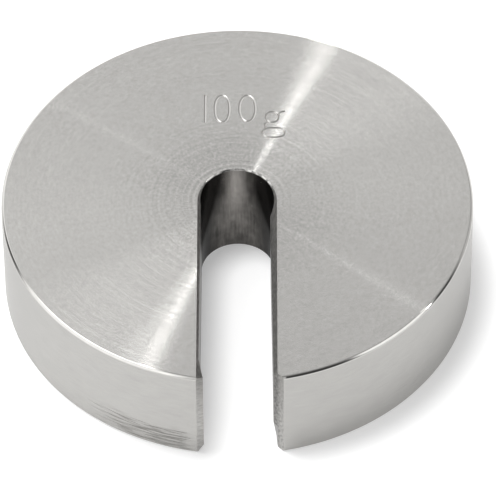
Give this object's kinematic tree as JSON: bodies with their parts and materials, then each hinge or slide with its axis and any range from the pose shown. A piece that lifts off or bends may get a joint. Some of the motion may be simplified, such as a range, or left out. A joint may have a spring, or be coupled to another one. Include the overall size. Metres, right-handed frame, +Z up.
{
  "type": "calibration weight",
  "caption": "Flat round stainless weight with a slot milled from the rim to a round seat at its centre, for stacking on a hanger's stem.",
  "frame": {"origin": "on the disc's turning axis, in the plane of the bottom face", "axes": "+Z up through the thickness; the slot opens towards -Y"},
  "size_m": [0.0422, 0.0419, 0.0101],
  "materials": {
    "turned_steel": "turned and lightly brushed, unplated"
  },
  "bodies": {
    "root": {"weight_body": "turned_steel"}
  },
  "joints": []
}
